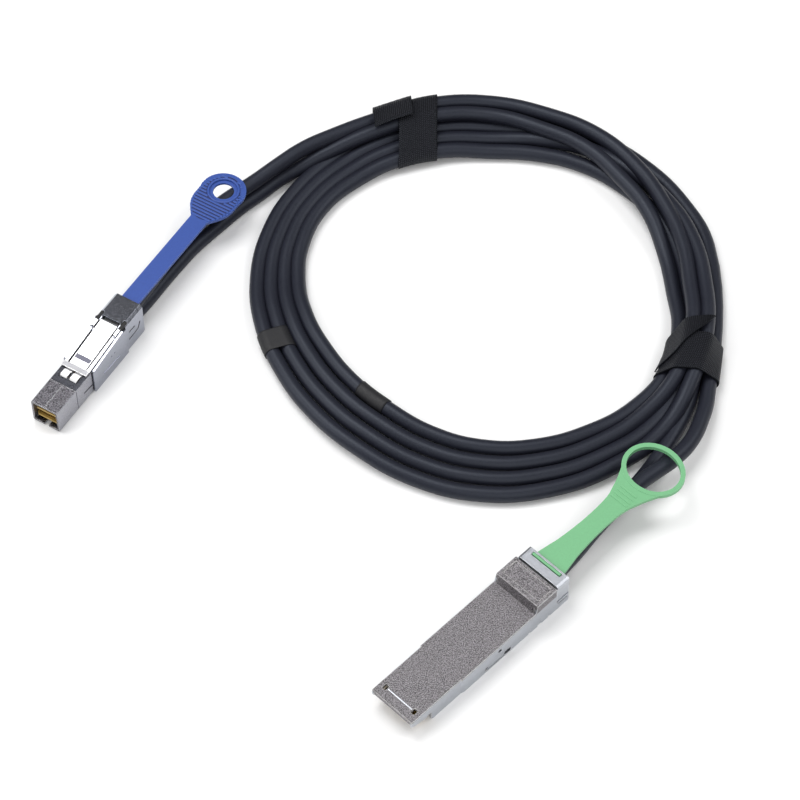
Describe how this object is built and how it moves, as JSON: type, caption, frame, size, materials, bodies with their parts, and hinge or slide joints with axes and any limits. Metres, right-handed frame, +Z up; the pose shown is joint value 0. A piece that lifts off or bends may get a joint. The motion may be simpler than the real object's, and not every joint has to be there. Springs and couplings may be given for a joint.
{
  "type": "plug-to-plug copper network cable",
  "caption": "Coiled twin-lead cable with a wide pluggable connector and green pull ring at one end and a tall narrow latching plug with a blue pull tab at the other.",
  "frame": {"origin": "on the surface the cable lies on, below the middle of the box round both plugs with their pull tabs", "axes": "+Z up; the picture looks along +Y and down; the wide plug lies to the front (-Y), the tall plug to the left (-X), each with its rear to the coil"},
  "size_m": [0.2385, 0.261, 0.0143],
  "materials": {
    "die_cast": "die cast, coarse speckled",
    "bright_shell": "smooth plated",
    "steel": "bright stainless sheet",
    "dark_mirror": "dark bright plating",
    "nose_metal": "fine textured dark plating",
    "laminate": "circuit board laminate with gold edge",
    "spring_wire": "drawn wire",
    "green_tab": "smooth moulded",
    "blue_tab": "smooth moulded",
    "jacket": "matt braided-look jacket",
    "tie_cloth": "woven hook and loop",
    "band": "smooth band",
    "ferrule": "moulded",
    "resin": "cast resin"
  },
  "bodies": {
    "cable": {"qsfp_base_shell": "bright_shell", "qsfp_cover_shell": "die_cast", "qsfp_paddle_card": "laminate", "qsfp_spring_left": "spring_wire", "qsfp_spring_right": "spring_wire", "qsfp_ferrule_upper": "ferrule", "qsfp_ferrule_lower": "ferrule", "qsfp_wire_block": "resin", "qsfp_screw_left": "spring_wire", "qsfp_screw_right": "spring_wire", "qsfp_lead_upper": "jacket", "qsfp_lead_lower": "jacket", "sas_nose_shell": "nose_metal", "sas_body_base": "dark_mirror", "sas_rear_shell": "dark_mirror", "sas_latch_cover": "steel", "sas_latch_pin": "spring_wire", "sas_latch_spring": "spring_wire", "sas_card_upper": "laminate", "sas_card_lower": "laminate", "sas_card_spacer": "resin", "sas_wire_block": "resin", "sas_ferrule_upper": "ferrule", "sas_ferrule_lower": "ferrule", "sas_lead_upper": "jacket", "sas_lead_lower": "jacket", "cable_coil": "jacket", "tie_top": "tie_cloth", "tie_right": "tie_cloth", "band_left": "band", "band_inner": "band"},
    "qsfp_release": {"qsfp_latch_slider": "bright_shell", "qsfp_pull_tab": "green_tab"},
    "sas_release": {"sas_pull_tab": "blue_tab"},
    "sas_latch": {"sas_latch_plate": "steel"}
  },
  "joints": [
    {"name": "qsfp_pull", "type": "slide", "parent": "cable", "child": "qsfp_release", "axis": [0.6997, 0.7145, 0], "range_m": [0, 0.0025], "stiffness_N_per_m": 900, "springref_m": -0.001},
    {"name": "sas_pull", "type": "slide", "parent": "cable", "child": "sas_release", "axis": [0.514, 0.8578, 0], "range_m": [0, 0.0025], "stiffness_N_per_m": 700, "springref_m": -0.001},
    {"name": "sas_latch_rock", "type": "hinge", "parent": "cable", "child": "sas_latch", "pos_m": [-0.08668, 0.03875, 0.0114], "axis": [0.8578, -0.514, 0], "range_deg": [0, 5.3]}
  ],
  "couplings": [
    {"joint": "sas_latch_rock", "follows": "sas_pull", "rad_per_m": 31.4}
  ]
}
